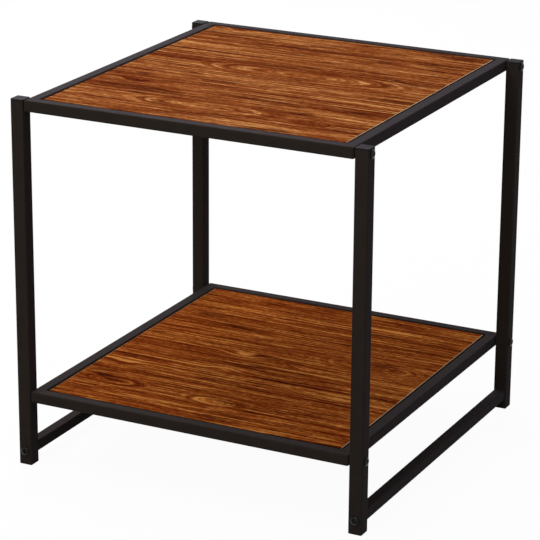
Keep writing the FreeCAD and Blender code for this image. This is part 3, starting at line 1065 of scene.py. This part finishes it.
@dataclass
class Studio:
    """A white floor, even white surroundings, softboxes and the camera.

    Attributes:
        surroundings: Strength of the soft light from all round.
        floor_size: Side of the floor, in metres.
        floor_drop: How far the floor lies below the feet.
        floor_seen: The floor's colour where it is seen.
        floor_bounce: The floor's colour where it only throws light back at the table.
        floor_white_share: How much of the floor is plain white; the rest takes the shadow.
        middle: What the lamps point at.
        lamps: The softboxes.
        camera_place: Where the camera stands, in metres.
        camera_azimuth: How far it is turned left of straight on, in degrees.
        camera_drop: How far it looks down, in degrees.
        camera_roll: How far it is rolled, in degrees.
        lens: Its focal length, in millimetres.
        sensor_width: Width of its sensor, in millimetres.
    """

    surroundings: float = 0.15
    floor_size: float = 60.0
    floor_drop: float = 0.15 * MM
    floor_seen: str = "#ffffff"
    floor_bounce: str = "#949494"
    floor_white_share: float = 0.96
    middle: tuple[float, float, float] = (0.0, 0.0, 0.2)
    lamps: tuple[AreaLamp, ...] = (
        AreaLamp("overhead_softbox", (-0.3, 0.0, 2.2), 1.6, 7.5),
        AreaLamp("upper_left_softbox", (-0.9, -0.9, 1.9), 1.2, 13.0),
        AreaLamp("front_softbox", (0.2, -2.2, 1.4), 1.2, 12.5),
        AreaLamp("rear_left_softbox", (-1.4, 1.6, 1.3), 1.2, 14.5),
        AreaLamp("rear_softbox", (-0.8, 1.6, 2.2), 1.2, 19.5),
        AreaLamp("right_softbox", (2.0, -0.3, 1.3), 1.2, 5.0),
        AreaLamp("small_spark", (-1.3, -0.9, 1.9), 0.16, 1.0),
    )
    camera_place: tuple[float, float, float] = (1.1507, -2.2973, 1.0571)
    camera_azimuth: float = 26.694
    camera_drop: float = 18.678
    camera_roll: float = 0.418
    lens: float = 168.6
    sensor_width: float = 36.0

    def build(self) -> None:
        """Builds the whole studio."""
        self.build_world()
        self.build_floor()
        for lamp in self.lamps:
            lamp.build(Vector(self.middle))
        self.build_camera()

    def seen_directly(self, tree: NodeTree) -> Socket:
        """One for rays from the camera and for what gloss and glass show, else zero.

        Args:
            tree: The node tree.

        Returns:
            The value.
        """
        path = add_node(tree, "ShaderNodeLightPath")
        camera_or_gloss = add_node(tree, "ShaderNodeMath", {"operation": "MAXIMUM"},
                                   {0: path.outputs["Is Camera Ray"],
                                    1: path.outputs["Is Glossy Ray"]})
        seen = add_node(tree, "ShaderNodeMath", {"operation": "MAXIMUM"},
                        {0: camera_or_gloss.outputs[0],
                         1: path.outputs["Is Transmission Ray"]})
        return seen.outputs[0]

    def build_world(self) -> None:
        """Builds the surroundings: soft light on the table, plain white where they are seen."""
        world = bpy.data.worlds.new("studio_surroundings")
        world.use_nodes = True
        bpy.context.scene.world = world
        tree = world.node_tree
        tree.nodes.clear()
        soft, white = (add_node(tree, "ShaderNodeBackground", None,
                                {"Color": WHITE, "Strength": strength})
                       for strength in (self.surroundings, 1.0))
        mix = add_node(tree, "ShaderNodeMixShader", None,
                       {0: self.seen_directly(tree), 1: soft.outputs[0], 2: white.outputs[0]})
        add_node(tree, "ShaderNodeOutputWorld", None, {"Surface": mix.outputs[0]})

    def build_floor(self) -> None:
        """Lays the floor, which keeps the table's shadow."""
        shape = bmesh.new()
        bmesh.ops.create_grid(shape, x_segments=1, y_segments=1, size=self.floor_size / 2)
        bmesh.ops.translate(shape, vec=(0.0, 0.0, -self.floor_drop), verts=shape.verts)
        mesh = bpy.data.meshes.new("studio_floor")
        shape.to_mesh(mesh)
        shape.free()
        floor = bpy.data.objects.new("studio_floor", mesh)
        bpy.context.scene.collection.objects.link(floor)
        material = bpy.data.materials.new("studio_white")
        material.use_nodes = True
        tree = material.node_tree
        tree.nodes.clear()
        seen = self.seen_directly(tree)
        colour = add_node(tree, "ShaderNodeMix", {"data_type": "RGBA"},
                          {"Factor": seen, COLOUR_A: linear(self.floor_bounce),
                           COLOUR_B: linear(self.floor_seen)})
        lit = add_node(tree, "ShaderNodeBsdfDiffuse", None,
                       {"Color": colour.outputs[MIXED_COLOUR]})
        white = add_node(tree, "ShaderNodeEmission", None, {"Color": WHITE, "Strength": 1.0})
        share = add_node(tree, "ShaderNodeMath", {"operation": "MULTIPLY"},
                         {0: seen, 1: self.floor_white_share})
        mix = add_node(tree, "ShaderNodeMixShader", None,
                       {0: share.outputs[0], 1: lit.outputs[0], 2: white.outputs[0]})
        add_node(tree, "ShaderNodeOutputMaterial", None, {"Surface": mix.outputs[0]})
        mesh.materials.append(material)

    def build_camera(self) -> None:
        """Sets up the camera: turned left of straight on, tilted down, with a slight roll."""
        lens = bpy.data.cameras.new("studio_camera")
        lens.lens = self.lens
        lens.sensor_width = self.sensor_width
        camera = bpy.data.objects.new("studio_camera", lens)
        turn = Matrix.Rotation(math.radians(self.camera_azimuth), 4, "Z")
        tilt = Matrix.Rotation(math.radians(90.0 - self.camera_drop), 4, "X")
        roll = Matrix.Rotation(math.radians(self.camera_roll), 4, "Z")
        camera.matrix_world = Matrix.Translation(self.camera_place) @ turn @ tilt @ roll
        bpy.context.scene.collection.objects.link(camera)
        bpy.context.scene.camera = camera


TOP_KNOTS = (
    Knot(22.0, 25.0, 150.0, 33.0, 5.0, 0.0, 0.95),
    Knot(-15.0, -132.0, 115.0, 24.0, -4.0, 0.0, 0.95),
    Knot(110.0, -140.0, 30.0, 12.0, 0.0, -0.42, 0.9),
    Knot(-135.0, 172.0, 45.0, 16.0, 9.0, 0.16),
    Knot(57.0, 166.0, 40.0, 16.0, -9.0, 0.16),
    Knot(24.0, 174.0, 22.0, 9.0, 0.0, -0.26),
    Knot(-122.0, -74.0, 30.0, 9.0, 5.0, -0.28),
    Knot(-155.0, -71.0, 24.0, 10.0, -5.0, 0.22),
    Knot(-60.0, -30.0, 170.0, 11.0, 0.0, 0.2),
    Knot(48.0, 45.0, 42.0, 11.0, 0.0, -0.28),
    Knot(150.0, 9.0, 60.0, 13.0, 4.0, 0.22),
    Knot(150.0, 88.0, 60.0, 5.0, 0.0, -0.3),
)

SHELF_KNOTS = (
    Knot(-37.0, 3.0, 38.0, 13.0, 9.0, 0.5),
    Knot(8.0, 0.0, 40.0, 9.0, -7.0, -0.26),
    Knot(-35.0, -43.0, 32.0, 12.0, -7.0, 0.45),
    Knot(0.0, -133.0, 48.0, 17.0, 0.0, 0.36, 0.95),
    Knot(-122.0, -128.0, 50.0, 15.0, 5.0, -0.2, 0.8),
    Knot(-142.0, -77.0, 30.0, 13.0, 5.0, -0.16),
    Knot(105.0, 35.0, 95.0, 30.0, 4.0, 0.0, 0.6),
)

# Walnut red from dark to light grain.  The shelf board's colours are the top board's with less green and
# blue.
TOP_STOPS = (
    (0.02, "#430705"),
    (0.26, "#6a2a05"),
    (0.50, "#8a461b"),
    (0.68, "#a96432"),
    (0.92, "#d59758"),
)
SHELF_STOPS = (
    (0.02, "#430603"),
    (0.26, "#6a2703"),
    (0.50, "#8a4112"),
    (0.68, "#a95d24"),
    (0.92, "#d58d42"),
)


def main() -> None:
    """Builds the studio and the table's looks in order, and reports each."""
    logging.basicConfig(level=logging.INFO, format="%(message)s")
    studio = Studio()
    studio.build()
    LOG.info("studio: %d lamps", len(studio.lamps))
    steelwork = Steelwork(PowderCoat())
    steelwork.build()
    steelwork.dress()
    LOG.info("steelwork coated")
    for level, top_blobs in (("top", False), ("shelf", True)):
        rails = (f"{level}_frame_front_rail", f"{level}_frame_left_rail")
        welds = FrameWelds(f"{level}_frame_welds", rails, f"{level}_front_left_board_tab",
                           steelwork.material, top_blobs)
        piece = welds.build()
        LOG.info("%s: %d faces", piece.name, len(piece.data.polygons))
    fittings = Fittings(
        bolt=PlatedSteel("black_bolt", "#080707", 0.0, 0.16, 0.15),
        zinc=PlatedSteel("zinc_plate", "#c4c7c9", 1.0, 0.35),
        plastic=MouldedPlastic(),
    )
    fittings.dress()
    LOG.info("fittings finished")
    # The board's sides show only in the gap by the rails.  Their near-black colours are painted shade of
    # that gap.
    edge = EdgeBand("board_edging_painted_shade", "#1c130e", "#2e2118")
    end_lip = EdgeBand("board_end_lip", "#cba880", "#e6cba6")
    for node, knots, offset, stops in (("top_board", TOP_KNOTS, 40.0, TOP_STOPS),
                                       ("shelf_board", SHELF_KNOTS, 310.0, SHELF_STOPS)):
        laminate = WoodLaminate(f"{node}_laminate", knots, offset, stops)
        board = Board(node, laminate, edge, end_lip)
        board.build()
        LOG.info("%s: %d faces", board.piece.name, len(board.piece.data.polygons))
    bpy.context.scene.view_settings.view_transform = "Standard"


if __name__ == "__main__":
    main()
